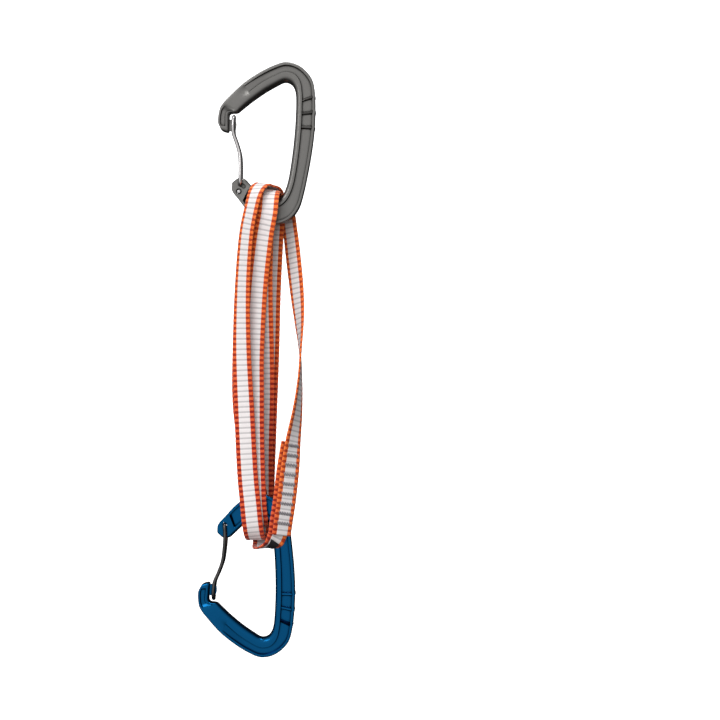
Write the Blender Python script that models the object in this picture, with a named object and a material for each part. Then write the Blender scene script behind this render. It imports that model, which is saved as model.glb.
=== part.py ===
"""Climbing quickdraw: two wire-gate carabiners joined by a tripled, sewn webbing sling.

Metres, +Z up, hanging at rest. The world origin is the lowest point of the top carabiner's
basket, where it hangs from a bolt. The carabiners' flat sides face -Y and +Y.
Lengths below are in millimetres until make_object() scales them.
"""

import math

import bpy
import numpy as np

MM = 0.001

# Carabiner body: (outer x, outer z, inner x, inner z) from the nose tip, along the nose arm,
# round the basket, down the spine and round the lower corner to the hinge end.
OUTLINE = (
    (-34.5, -24.6, -29.7, -26.3),
    (-35.7, -21.1, -29.6, -21.1),
    (-34.9, -15.1, -29.1, -17.0),
    (-33.3, -11.9, -25.1, -16.3),
    (-29.9, -8.2, -22.7, -14.6),
    (-22.1, -0.9, -17.1, -10.2),
    (-13.9, 4.6, -10.3, -5.5),
    (-6.5, 8.4, -4.4, -2.1),
    (0.7, 10.6, 0.0, 0.0),
    (7.5, 9.0, 3.2, -0.6),
    (12.7, 4.7, 5.2, -2.8),
    (15.7, -0.5, 6.2, -6.4),
    (16.6, -8.1, 6.4, -11.3),
    (16.7, -17.3, 6.2, -18.4),
    (16.1, -27.5, 5.7, -26.5),
    (14.5, -39.4, 4.6, -37.3),
    (12.4, -50.8, 3.0, -48.3),
    (10.4, -59.9, 1.4, -55.6),
    (8.0, -67.5, -0.7, -60.5),
    (3.7, -73.2, -3.5, -63.5),
    (-2.4, -76.1, -6.9, -64.4),
    (-8.9, -75.9, -10.2, -63.2),
    (-15.1, -73.2, -13.3, -60.5),
    (-20.2, -68.8, -16.3, -57.2),
    (-24.8, -62.9, -19.1, -54.1),
    (-28.0, -58.6, -21.2, -52.1),
    (-28.2, -54.8, -24.3, -51.7),
)
BODY_STEP = 4.6
# (station, thickness, width of the inner flange, rounding of the inner edge) along the outline.
SECTIONS = (
    (0.0, 5.6, 1.9, 1.5),
    (3.0, 6.6, 2.2, 1.7),
    (4.4, 7.4, 4.6, 2.6),
    (6.0, 8.0, 5.2, 3.2),
    (9.0, 8.0, 5.2, 3.2),
    (11.0, 8.0, 3.6, 2.5),
    (12.4, 8.0, 3.1, 2.2),
    (21.0, 8.0, 3.1, 2.2),
    (24.0, 6.0, 2.4, 1.6),
    (26.0, 6.0, 1.8, 1.2),
)
END_DOME = {"nose": 1.3, "hinge": 0.7}
OUTER_RIM = 1.5
OUTER_ROUND = 0.5
WALL_SLOPE = 0.5
# Web pockets: (first station, last station, depth, length of the slope at each end).
POCKETS = ((0.4, 3.4, 1.1, 0.2, 1.4), (4.4, 20.7, 1.7, 2.2, 0.3), (21.7, 23.6, 1.7, 0.2, 0.2))
RIB_STATIONS = (12.15, 12.93, 13.68)
RIB_HALF = 0.05
RIB_RISE = 0.75

# Nose hook that catches the gate wire's loop, and the two offset holes of the hinge end.
HOOK = (
    (-31.0, -20.0),
    (-27.2, -20.0),
    (-26.2, -20.7),
    (-25.9, -22.4),
    (-26.2, -24.8),
    (-27.6, -26.0),
    (-31.0, -25.8),
)
HOOK_WIDTH = 2.4
PIVOT = (-24.4, -58.9)
UPPER_HOLE = (-23.7, -55.2)
HOLE_RADIUS = 1.2
COUNTERBORE = (1.65, 0.8)
SLOT_FLOOR = -1.4
CUT_REACH = 6.0
GATE_TRAVEL = 35.0

# Gate wire: (x, y, z) of the near leg from its bent end up to the middle of the loop.
WIRE_RADIUS = 0.95
WIRE_STEP = 2.4
NEAR_END = ((-23.7, -1.8, -55.2), (-23.7, -3.3, -55.2), (-23.65, -4.5, -54.0))
FAR_END = ((-23.8, 4.6, -55.0), (-24.2, 4.6, -57.4), (-24.4, 3.2, -58.9), (-24.4, -2.5, -58.9))
LEG = (
    (-23.5, -4.7, -51.0),
    (-23.5, -4.1, -44.8),
    (-23.9, -3.5, -38.9),
    (-25.5, -3.1, -32.9),
    (-27.2, -3.2, -27.9),
    (-27.5, -3.4, -23.8),
    (-27.4, -3.0, -20.7),
    (-27.2, -1.8, -18.8),
)
LOOP_MIDDLE = (-27.1, 0.0, -18.3)

# The bottom carabiner is the same one, turned end for end and a little about Y.
BOTTOM_APEX = (-12.6, 0.0, -298.8)
BOTTOM_TILT = 4.8

SLING_SWING = (-11.0, 0.0, -67.5)
BOTTOM_SWING = (-11.5, 0.0, -230.0)

# Sling: one ribbon. Route points are (x, y, z, turn, drop): turn is the angle in degrees from
# +X to the direction across the webbing, seen from above, and drop is how far that direction
# points down, 0 where it's left out.
WEBBING_WIDTH = 11.0
WEBBING_THICKNESS = 1.2
SLING_STEP = 8.0
BEND_PER_RING = 16.0
FRONT_LAYER = (
    (-1.1, -10.9, -243.0, -152.0),
    (-0.1, -10.5, -236.0, -152.0),
    (1.5, -9.4, -225.2, -152.0),
    (3.3, -7.7, -209.0, -150.0),
    (4.9, -5.8, -193.6, -134.0),
)
REAR_SHIFT = (-2.2, 0.65, 0.0)
STRAND_D = (
    (7.2, -3.0, -176.6, -114.0),
    (8.4, -0.5, -160.4, -98.0),
    (8.5, 2.0, -144.2, -84.0),
    (7.8, 4.6, -128.0, -62.0),
    (6.4, 6.8, -111.8, -47.0),
    (4.3, 8.6, -92.9, -42.0),
    (2.7, 9.8, -79.4, -44.0),
    (1.2, 9.8, -69.7, -45.0),
)
CREST_OUTER = (
    (-2.4, 10.4, -63.0, -45.0, 8.0),
    (-4.6, 8.2, -58.4, -45.0, 8.0),
    (-6.4, 4.2, -56.2, -45.0, 6.0),
    (-8.8, 0.2, -55.6, -45.0, 5.0),
    (-11.8, -4.6, -55.3, -45.0, 10.0),
    (-14.8, -9.4, -59.8, -45.0, 10.0),
)
STRAND_A = (
    (-17.4, -10.8, -69.6, -45.0),
    (-20.2, -9.6, -84.8, -44.0),
    (-22.1, -8.4, -111.8, -40.0),
    (-22.4, -7.6, -144.2, -26.0),
    (-21.1, -7.6, -176.6, -12.0),
    (-19.4, -8.4, -209.0, -2.0),
    (-17.7, -9.4, -226.5, 0.0),
)
TURN_A_C = (
    (-16.5, -9.2, -238.1, 0.0),
    (-15.7, -6.0, -243.8, 0.0),
    (-14.8, -0.5, -246.2, 0.0),
    (-13.8, 5.0, -243.6, 0.0),
    (-12.9, 8.0, -236.8, 0.0),
)
STRAND_C1 = (
    (-12.2, 8.6, -226.5, 0.0),
    (-12.2, 7.8, -209.0, 0.0),
    (-11.8, 6.2, -187.4, 0.0),
    (-11.2, 3.6, -165.8, 0.0),
    (-11.2, 0.6, -144.2, 0.0),
    (-11.6, -2.2, -122.6, 0.0),
    (-11.6, -4.6, -101.0, 0.0),
    (-11.0, -6.4, -82.1, 0.0, 4.0),
)
CREST_INNER = (
    (-10.2, -6.8, -70.2, 0.0, 14.0),
    (-9.4, -5.0, -63.2, 0.0, 24.0),
    (-9.0, 0.0, -60.3, 0.0, 25.0),
    (-9.4, 5.0, -63.2, 0.0, 24.0),
    (-10.4, 6.8, -70.7, 0.0, 14.0),
)
STRAND_E = (
    (-12.4, 6.4, -84.8, 0.0),
    (-17.6, 5.0, -101.0, 0.0),
    (-21.6, 4.0, -122.6, 0.0),
    (-22.8, 3.2, -144.2, 0.0),
    (-22.8, 2.2, -171.2, 0.0),
    (-20.4, 2.4, -192.8, 0.0),
    (-16.9, 4.6, -211.7, 0.0),
)
TURN_E_B = (
    (-14.8, 6.7, -226.8, 0.0, 4.0),
    (-14.3, 5.2, -235.4, 0.0, 8.0),
    (-14.0, 0.0, -238.7, 0.0, 8.0),
    (-14.0, -5.2, -235.4, 0.0, 8.0),
    (-14.8, -6.9, -226.8, 0.0, 4.0),
)
STRAND_B = (
    (-15.6, -6.0, -209.0, 0.0),
    (-16.1, -5.0, -187.4, 0.0),
    (-16.2, -4.7, -165.8, 0.0),
    (-16.1, -4.9, -144.2, 0.0),
    (-14.3, -6.0, -111.8, -4.0),
    (-11.1, -8.6, -84.8, -10.0),
)
CREST_MIDDLE = (
    (-8.6, -10.0, -71.3, -12.0, 8.0),
    (-7.9, -7.7, -61.8, -12.0, 13.0),
    (-7.4, 0.0, -57.9, -12.0, 13.0),
    (-6.4, 6.4, -61.2, -12.0, 13.0),
    (-5.6, 8.7, -70.2, -12.0, 8.0),
)
STRAND_C2 = (
    (-6.5, 8.6, -84.8, -6.0),
    (-7.8, 7.6, -111.8, 0.0),
    (-8.6, 6.8, -144.2, 0.0),
    (-9.8, 7.8, -176.6, 0.0),
    (-11.1, 9.9, -209.0, 2.0),
    (-11.8, 11.3, -226.5, 4.0),
)
TURN_C_D = (
    (-12.2, 11.2, -238.0, 10.0),
    (-12.2, 8.8, -245.4, 20.0),
    (-11.9, 3.6, -249.3, 28.0),
    (-11.7, -1.6, -250.2, 32.0),
    (-10.8, -6.6, -250.0, 36.0),
    (-8.4, -9.9, -249.0, 34.0),
    (-5.4, -10.9, -246.8, 29.0),
)

# Stitching and label.
TACK_COUNT = 9
TACK_PITCH = 5.2
FIRST_TACK = 6.5
TACK_WIDTH = 7.2
TACK_REACH = 0.7
TACK_PEAKS = 8
THREAD = 0.45
SKIN_GAP = 0.12
LABEL_START = -7.6
LABEL_LENGTH = 5.0
LABEL_WIDTH = 6.0
LABEL_THICKNESS = 0.4
LABEL_GAP = 0.5

COLOURS = {
    "anodised_grey": ((0.075, 0.082, 0.08), 1.0, 0.42),
    "anodised_blue": ((0.006, 0.125, 0.34), 1.0, 0.28),
    "steel_wire": ((0.55, 0.55, 0.55), 1.0, 0.3),
    "webbing": ((0.82, 0.78, 0.77), 0.0, 0.9),
    "thread": ((0.22, 0.21, 0.22), 0.0, 0.8),
    "label": ((0.02, 0.02, 0.022), 0.0, 0.8),
}


def clear_scene():
    for item in list(bpy.data.objects):
        bpy.data.objects.remove(item, do_unlink=True)


def make_material(name):
    colour, metallic, roughness = COLOURS[name]
    material = bpy.data.materials.new(name)
    material.use_nodes = True
    shader = material.node_tree.nodes["Principled BSDF"]
    shader.inputs["Base Color"].default_value = (*colour, 1.0)
    shader.inputs["Metallic"].default_value = metallic
    shader.inputs["Roughness"].default_value = roughness
    material.diffuse_color = (*colour, 1.0)
    return material


def new_collection(name):
    collection = bpy.data.collections.new(name)
    bpy.context.scene.collection.children.link(collection)
    return collection


def make_object(name, points, faces, origin, collection, material=None):
    """A mesh object of the world-space points in mm, with its origin at the given point in mm."""
    mesh = bpy.data.meshes.new(name)
    local = (np.asarray(points) - np.asarray(origin)) * MM
    mesh.from_pydata([tuple(p) for p in local], [], faces)
    mesh.update()
    item = bpy.data.objects.new(name, mesh)
    item.location = [c * MM for c in origin]
    if material is not None:
        mesh.materials.append(material)
    collection.objects.link(item)
    return item


def even_counts(points, step):
    """How many pieces to cut each span into, so that they are at most about one step long."""
    spans = np.linalg.norm(np.diff(np.asarray(points, float)[:, :3], axis=0), axis=1)
    return [max(1, math.ceil(span / step)) for span in spans]


def bend_counts(points, step):
    """The same, with more pieces where the route bends or twists."""
    points = np.asarray(points, float)
    chords = np.diff(points[:, :3], axis=0)
    chords /= np.linalg.norm(chords, axis=1)[:, None]
    chords = np.vstack([chords[0], chords, chords[-1]])
    counts = []
    for i, count in enumerate(even_counts(points, step)):
        bend = math.degrees(math.acos(np.clip(np.dot(chords[i], chords[i + 2]), -1.0, 1.0)))
        twist = np.abs(points[i + 1, 3:] - points[i, 3:]).sum()
        counts.append(max(count, math.ceil((bend + twist) / BEND_PER_RING)))
    return counts


def smooth(points, counts, keep=()):
    """(samples, station numbers) of a curve through the points, each span cut as counted."""
    points = np.asarray(points, float)
    ends = (2 * points[0] - points[1], 2 * points[-1] - points[-2])
    padded = np.vstack([ends[0], points, ends[1]])
    at = [i + k / count for i, count in enumerate(counts) for k in range(count)]
    at = np.array(sorted(set(np.round(at + list(keep) + [len(points) - 1.0], 4))))
    i = np.minimum(at.astype(int), len(points) - 2)
    t = (at - i)[:, None]
    a, b, c, d = (padded[i + k] for k in range(4))
    curve = 2 * b + (c - a) * t + (2 * a - 5 * b + 4 * c - d) * t**2
    curve = 0.5 * (curve + (3 * b - a - 3 * c + d) * t**3)
    return curve, at


def loft(rings):
    """Faces that join rings of equally many points, with both ends closed."""
    count = len(rings[0])
    faces = []
    for r in range(len(rings) - 1):
        for k in range(count):
            n = (k + 1) % count
            faces.append((r * count + k, r * count + n, (r + 1) * count + n, (r + 1) * count + k))
    faces.append(tuple(reversed(range(count))))
    faces.append(tuple(range((len(rings) - 1) * count, len(rings) * count)))
    return faces


def facing_out(points, faces):
    """The faces, turned round if they enclose a negative volume."""
    volume = 0.0
    for face in faces:
        for k in range(1, len(face) - 1):
            a, b, c = points[face[0]], points[face[k]], points[face[k + 1]]
            volume += np.dot(a, np.cross(b, c))
    return faces if volume > 0 else [tuple(reversed(face)) for face in faces]


# --- carabiner ---------------------------------------------------------------------------


def quarter(radius, steps):
    """Fractions (along, up) of a rounded corner, from its side to its face."""
    angles = np.linspace(0.0, math.pi / 2, steps)
    return [(radius * (1 - math.cos(a)), radius * (math.sin(a) - 1)) for a in angles]


def body_section(width, station, depth):
    """Half of the I-beam section: (distance from the inner edge, height), inner to outer edge."""
    stations, *columns = zip(*SECTIONS)
    thickness, flange, rounding = (np.interp(station, stations, column) for column in columns)
    half = thickness / 2
    inner = min(rounding, width * 0.4)
    outer = min(OUTER_ROUND, width * 0.1)
    start = max(min(flange, width * 0.5), inner + 0.05)
    end = width - min(OUTER_RIM, width * 0.17)
    slope = min(WALL_SLOPE, (end - start) * 0.2)
    half_section = [(a, half + up) for a, up in quarter(inner, 5)]
    half_section += [(start, half), (start + slope, half - depth)]
    half_section += [(end - slope, half - depth), (end, half)]
    half_section += [(width - a, half + up) for a, up in reversed(quarter(outer, 3))]
    return half_section


def pocket_depth(station):
    """Depth of the web pocket at a station of the outline."""
    for start, end, depth, first, last in POCKETS:
        if start < station < end:
            return depth * min(1.0, (station - start) / first, (end - station) / last)
    return 0.0


def rib_at(station):
    """How far a cross rib fills the pocket at a station, 0 to 1."""
    nearest = min(abs(station - rib) for rib in RIB_STATIONS)
    return RIB_RISE if nearest <= RIB_HALF * 1.01 else 0.0


def place_top(points):
    return np.asarray(points, float)


def place_bottom(points):
    """Turns a carabiner's own points end for end, tilts them and moves them to the bottom."""
    x, y, z = (np.asarray(points, float) * (1.0, -1.0, -1.0)).T
    c, s = math.cos(math.radians(BOTTOM_TILT)), math.sin(math.radians(BOTTOM_TILT))
    return np.stack([x * c + z * s, y, z * c - x * s], axis=1) + BOTTOM_APEX


def body_ring(outer, inner, half_section):
    """World points of a section, given the outline's outer and inner points there."""
    across = (outer - inner) / np.linalg.norm(outer - inner)
    upper = [(inner[0] + across[0] * u, -v, inner[1] + across[1] * u) for u, v in half_section]
    lower = [(x, -y, z) for x, y, z in reversed(upper)]
    return upper + lower


def dome(ring, direction, height):
    """Rings that close an end of the body with a rounded cap."""
    ring = np.asarray(ring)
    centre = ring.mean(axis=0)
    caps = []
    for angle in (0.5, 0.95, 1.3):
        shrunk = centre + (ring - centre) * max(math.cos(angle), 0.3)
        caps.append(shrunk + direction * height * math.sin(angle))
    return caps


def carabiner_rings():
    ribs = [rib + side * RIB_HALF * f for rib in RIB_STATIONS for side in (-1, 1) for f in (1, 2)]
    pockets = [s for a, b, _, first, last in POCKETS for s in (a, a + first, b - last, b)]
    counts = even_counts(OUTLINE, BODY_STEP)
    samples, stations = smooth(OUTLINE, counts, keep=ribs + pockets)
    rings = []
    for row, station in zip(samples, stations):
        outer, inner = row[:2], row[2:]
        width = np.linalg.norm(outer - inner)
        depth = pocket_depth(station) * (1 - rib_at(station))
        rings.append(body_ring(outer, inner, body_section(width, station, depth)))
    centre = (samples[:, :2] + samples[:, 2:]) / 2
    nose = np.array([centre[0, 0] - centre[1, 0], 0.0, centre[0, 1] - centre[1, 1]])
    hinge = np.array([centre[-1, 0] - centre[-2, 0], 0.0, centre[-1, 1] - centre[-2, 1]])
    first = dome(rings[0], nose / np.linalg.norm(nose), END_DOME["nose"])
    last = dome(rings[-1], hinge / np.linalg.norm(hinge), END_DOME["hinge"])
    return [*reversed(first), *rings, *last]


def prism(outline, front, back):
    """(points, faces) of an (x, z) outline extruded along Y between two places."""
    points = [(x, y, z) for y in (front, back) for x, z in outline]
    count = len(outline)
    faces = [(k, (k + 1) % count, count + (k + 1) % count, count + k) for k in range(count)]
    faces += [tuple(reversed(range(count))), tuple(range(count, 2 * count))]
    return points, faces


def disc(centre, radius, start=0.0, end=360.0, steps=20):
    angles = np.radians(np.linspace(start, end, steps, endpoint=end - start < 360.0))
    return [(centre[0] + radius * math.cos(a), centre[1] + radius * math.sin(a)) for a in angles]


def slot_outline():
    """The upper hole, lengthened along the arc that the wire's end follows as the gate opens."""
    arm = np.subtract(UPPER_HOLE, PIVOT)
    radius, angle = np.linalg.norm(arm), math.degrees(math.atan2(arm[1], arm[0]))
    turned = angle - GATE_TRAVEL
    ends = [disc(PIVOT, radius, a, a + 1.0, 2)[0] for a in (angle, turned)]
    outline = disc(ends[0], HOLE_RADIUS, angle, angle + 180.0, 9)
    outline += disc(PIVOT, radius - HOLE_RADIUS, angle - 9.0, turned + 9.0, 4)
    outline += disc(ends[1], HOLE_RADIUS, turned + 180.0, turned + 360.0, 9)
    outline += disc(PIVOT, radius + HOLE_RADIUS, turned + 9.0, angle - 9.0, 4)
    return outline


def hinge_cuts():
    """(name, outline, (front, back)) of the cuts that take the two ends of the gate wire."""
    radius, depth = COUNTERBORE
    face = SECTIONS[-1][1] / 2
    return (
        ("pivot_hole", disc(PIVOT, HOLE_RADIUS), (-CUT_REACH, CUT_REACH)),
        ("counterbore", disc(PIVOT, radius), (-CUT_REACH, depth - face)),
        ("slot", slot_outline(), (-CUT_REACH, SLOT_FLOOR)),
    )


def add_helper(name, outline, reach, place, body, operation, helpers):
    """A hidden solid that a Boolean adds to the body or takes from it."""
    points, faces = prism(outline, *reach)
    points = place(points)
    faces = facing_out(points, faces)
    item = make_object(name, points, faces, (0.0, 0.0, 0.0), helpers)
    item.hide_render = True
    item.display_type = "WIRE"
    modifier = body.modifiers.new(name, "BOOLEAN")
    modifier.operation = operation
    modifier.solver = "EXACT"
    modifier.object = item


def make_body(name, place, origin, collection, helpers, material):
    rings = carabiner_rings()
    points = place(np.concatenate(rings))
    faces = facing_out(points, loft(rings))
    body = make_object(name, points, faces, origin, collection, material)
    width = (-HOOK_WIDTH / 2, HOOK_WIDTH / 2)
    add_helper(name + "_hook", HOOK, width, place, body, "UNION", helpers)
    for end, outline, reach in hinge_cuts():
        add_helper(f"{name}_{end}", outline, reach, place, body, "DIFFERENCE", helpers)
    return body


# --- gate wire ---------------------------------------------------------------------------


def gate_path():
    far_leg = [(x, -y, z) for x, y, z in reversed(LEG)]
    points = [*NEAR_END, *LEG, LOOP_MIDDLE, *far_leg, *FAR_END]
    return smooth(points, even_counts(points, WIRE_STEP))[0]


def make_gate(name, place, collection, material):
    """The bent wire as a bevelled curve, with its origin on the hinge axis."""
    origin = world_point(place, PIVOT)
    curve = bpy.data.curves.new(name, "CURVE")
    curve.dimensions = "3D"
    curve.bevel_depth = WIRE_RADIUS * MM
    curve.bevel_resolution = 2
    curve.use_fill_caps = True
    path = (place(gate_path()) - np.asarray(origin)) * MM
    spline = curve.splines.new("POLY")
    spline.points.add(len(path) - 1)
    for point, position in zip(spline.points, path):
        point.co = (*position, 1.0)
    spline.use_smooth = True
    curve.materials.append(material)
    gate = bpy.data.objects.new(name, curve)
    gate.location = [c * MM for c in origin]
    collection.objects.link(gate)
    return gate


# --- sling -------------------------------------------------------------------------------


def sling_route():
    rear = [tuple(np.add(p[:3], REAR_SHIFT)) + (p[3] + 180.0,) for p in FRONT_LAYER]
    parts = (FRONT_LAYER, STRAND_D, CREST_OUTER, STRAND_A, TURN_A_C, STRAND_C1, CREST_INNER)
    parts += (STRAND_E, TURN_E_B, STRAND_B, CREST_MIDDLE, STRAND_C2, TURN_C_D, rear)
    return [(*point, 0.0)[:5] for part in parts for point in part]


def ribbon_frames(samples):
    """(position, along, across, normal) at each sample of a route."""
    position = samples[:, :3]
    along = np.gradient(position, axis=0)
    along /= np.linalg.norm(along, axis=1)[:, None]
    turn, drop = np.radians(samples[:, 3:]).T
    level = np.cos(drop)
    across = np.stack([np.cos(turn) * level, np.sin(turn) * level, -np.sin(drop)], axis=1)
    across -= along * np.sum(across * along, axis=1)[:, None]
    across /= np.linalg.norm(across, axis=1)[:, None]
    return position, along, across, np.cross(along, across)


def strap_rings(frames, width, thickness):
    w, t, c = width / 2, thickness / 2, min(0.3, thickness * 0.3)
    section = ((-w, -t + c), (-w + c, -t), (w - c, -t), (w, -t + c))
    section += tuple((-a, -b) for a, b in section)
    position, _, across, normal = frames
    return [
        [p + a * u + n * v for u, v in section] for p, a, n in zip(position, across, normal)
    ]


def make_strap(name, frames, width, thickness, collection, material):
    rings = strap_rings(frames, width, thickness)
    points = np.concatenate(rings)
    faces = facing_out(points, loft(rings))
    return make_object(name, points, faces, SLING_SWING, collection, material)


def arc_lengths(position):
    steps = np.linalg.norm(np.diff(position, axis=0), axis=1)
    return np.concatenate([[0.0], np.cumsum(steps)])


def frame_at(frames, distance):
    """The ribbon's frame at a distance in mm along it."""
    at = arc_lengths(frames[0])
    values = [
        np.array([np.interp(distance, at, column[:, k]) for k in range(3)]) for column in frames
    ]
    return values[0], *(v / np.linalg.norm(v) for v in values[1:])


def make_tack(name, frames, distance, lift, collection, material):
    """One zigzag of thread across the webbing, lifted off its middle plane by the given height."""
    position, along, across, normal = frame_at(frames, distance)
    half = THREAD / 2
    pitch = TACK_WIDTH / TACK_PEAKS
    mitre = half * math.hypot(pitch, 2 * TACK_REACH) / pitch
    rings = []
    for k in range(TACK_PEAKS + 1):
        side = pitch * k - TACK_WIDTH / 2
        centre = position + across * side + along * TACK_REACH * (-1) ** k + normal * lift
        corners = ((-mitre, -half), (mitre, -half), (mitre, half), (-mitre, half))
        rings.append([centre + along * a + normal * b for a, b in corners])
    points = np.concatenate(rings)
    faces = facing_out(points, loft(rings))
    return make_object(name, points, faces, SLING_SWING, collection, material)


def make_tacks(front, rear, outward, collection, material):
    lift = WEBBING_THICKNESS / 2 + SKIN_GAP + THREAD / 2
    for k in range(TACK_COUNT):
        distance = FIRST_TACK + TACK_PITCH * k
        number = TACK_COUNT - k
        name = f"bar_tack_front_{number}"
        make_tack(name, front, distance, lift * outward, collection, material)
        name = f"bar_tack_back_{number}"
        make_tack(name, rear, distance, -lift * outward, collection, material)


def make_sling(collection, materials):
    route = sling_route()
    samples, _ = smooth(route, bend_counts(route, SLING_STEP))
    frames = ribbon_frames(samples)
    webbing = materials["webbing"]
    make_strap("sling_webbing", frames, WEBBING_WIDTH, WEBBING_THICKNESS, collection, webbing)
    layer = [(*point, 0.0) for point in FRONT_LAYER]
    front_samples, _ = smooth(layer, bend_counts(layer, SLING_STEP))
    front = ribbon_frames(front_samples)
    rear_samples = front_samples + np.array((*REAR_SHIFT, 0.0, 0.0))
    rear = ribbon_frames(rear_samples)
    outward = -1.0 if front[3][0][1] > 0 else 1.0
    make_tacks(front, rear, outward, collection, materials["thread"])
    at = arc_lengths(frames[0])
    total = at[-1]
    rear_length = arc_lengths(rear[0])[-1]
    start = total - rear_length + LABEL_START
    chosen = (at > start) & (at < start + LABEL_LENGTH)
    lift = WEBBING_THICKNESS / 2 + LABEL_GAP + LABEL_THICKNESS / 2
    position, along, across, normal = (part[chosen] for part in frames)
    side = -1.0 if normal[-1][1] > 0 else 1.0
    patch = (position + normal * lift * side, along, across, normal)
    make_strap("sling_label", patch, LABEL_WIDTH, LABEL_THICKNESS, collection, materials["label"])


def world_point(place, point):
    return tuple(float(c) for c in place([(point[0], 0.0, point[1])])[0])


def build():
    clear_scene()
    parts = new_collection("climbing_quickdraw")
    helpers = new_collection("cutters")
    materials = {name: make_material(name) for name in COLOURS}
    apex = (0.0, 0.0, 0.0)
    grey, blue, steel = (materials[n] for n in ("anodised_grey", "anodised_blue", "steel_wire"))
    make_body("top_carabiner_body", place_top, apex, parts, helpers, grey)
    make_gate("top_gate_wire", place_top, parts, steel)
    make_body("bottom_carabiner_body", place_bottom, BOTTOM_SWING, parts, helpers, blue)
    make_gate("bottom_gate_wire", place_bottom, parts, steel)
    make_sling(parts, materials)


build()
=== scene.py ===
"""Looks of the climbing quickdraw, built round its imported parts. +Z up.

Lengths are in millimetres until mesh_object() scales them. The stage's own are in metres.
"""

import math

import bpy
import numpy as np
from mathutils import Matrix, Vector

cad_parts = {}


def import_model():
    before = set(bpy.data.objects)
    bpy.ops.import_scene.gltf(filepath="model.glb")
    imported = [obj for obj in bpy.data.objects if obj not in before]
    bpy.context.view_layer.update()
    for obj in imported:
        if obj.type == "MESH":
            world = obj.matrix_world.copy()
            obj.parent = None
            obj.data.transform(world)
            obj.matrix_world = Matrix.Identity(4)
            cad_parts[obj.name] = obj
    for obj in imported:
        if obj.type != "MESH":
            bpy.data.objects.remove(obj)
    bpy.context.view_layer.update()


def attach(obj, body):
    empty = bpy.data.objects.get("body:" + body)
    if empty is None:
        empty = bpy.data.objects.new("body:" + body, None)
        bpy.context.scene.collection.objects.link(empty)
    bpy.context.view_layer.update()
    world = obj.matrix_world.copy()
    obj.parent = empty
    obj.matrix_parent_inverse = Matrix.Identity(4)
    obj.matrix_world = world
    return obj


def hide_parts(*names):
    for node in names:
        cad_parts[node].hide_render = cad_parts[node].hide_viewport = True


MM = 0.001

# Carabiner body: (outer x, outer z, inner x, inner z) from the nose tip, along the nose arm,
# round the basket, down the spine and round the lower corner to the hinge end.
OUTLINE = (
    (-34.5, -24.6, -29.7, -26.3),
    (-35.7, -21.1, -29.6, -21.1),
    (-34.9, -15.1, -29.1, -17.0),
    (-33.3, -11.9, -25.1, -16.3),
    (-29.9, -8.2, -22.7, -14.6),
    (-22.1, -0.9, -17.1, -10.2),
    (-13.9, 4.6, -10.3, -5.5),
    (-6.5, 8.4, -4.4, -2.1),
    (0.7, 10.6, 0.0, 0.0),
    (7.5, 9.0, 3.2, -0.6),
    (12.7, 4.7, 5.2, -2.8),
    (15.7, -0.5, 6.2, -6.4),
    (16.6, -8.1, 6.4, -11.3),
    (16.7, -17.3, 6.2, -18.4),
    (16.1, -27.5, 5.7, -26.5),
    (14.5, -39.4, 4.6, -37.3),
    (12.4, -50.8, 3.0, -48.3),
    (10.4, -59.9, 1.4, -55.6),
    (8.0, -67.5, -0.7, -60.5),
    (3.7, -73.2, -3.5, -63.5),
    (-2.4, -76.1, -6.9, -64.4),
    (-8.9, -75.9, -10.2, -63.2),
    (-15.1, -73.2, -13.3, -60.5),
    (-20.2, -68.8, -16.3, -57.2),
    (-24.8, -62.9, -19.1, -54.1),
    (-28.0, -58.6, -21.2, -52.1),
    (-28.2, -54.8, -24.3, -51.7),
)
# (station, thickness, width of the inner flange, rounding of the inner edge) along the outline.
SECTIONS = (
    (0.0, 5.6, 1.9, 1.5),
    (3.0, 6.6, 2.2, 1.7),
    (4.4, 7.4, 4.6, 2.6),
    (6.0, 8.0, 5.2, 3.2),
    (9.0, 8.0, 5.2, 3.2),
    (11.0, 8.0, 3.6, 2.5),
    (12.4, 8.0, 3.1, 2.2),
    (21.0, 8.0, 3.1, 2.2),
    (24.0, 6.0, 2.4, 1.6),
    (26.0, 6.0, 1.8, 1.2),
)
END_DOME = {"nose": 1.3, "hinge": 0.7}
DOME_ANGLES = (0.5, 0.95, 1.3)
DOME_NARROWEST = 0.3
OUTER_RIM = 1.5
OUTER_ROUND = 0.5
WALL_SLOPE = 0.5
# Web pockets: (first station, last station, depth, length of the slope at each end).
POCKETS = ((0.4, 3.4, 1.1, 0.2, 1.4), (4.4, 20.7, 1.7, 2.2, 0.3), (21.7, 23.6, 1.7, 0.2, 0.2))

# Nose hook that catches the gate wire's loop, and the two offset holes of the hinge end.
HOOK = (
    (-31.0, -20.0),
    (-27.2, -20.0),
    (-26.2, -20.7),
    (-25.9, -22.4),
    (-26.2, -24.8),
    (-27.6, -26.0),
    (-31.0, -25.8),
)
HOOK_WIDTH = 2.4
PIVOT = (-24.4, -58.9)
UPPER_HOLE = (-23.7, -55.2)
HOLE_RADIUS = 1.2
COUNTERBORE = (1.65, 0.8)
SLOT_FLOOR = -1.4
CUT_REACH = 6.0
GATE_TRAVEL = 35.0
BODY_SHARP_ANGLE = 32.0

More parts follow.
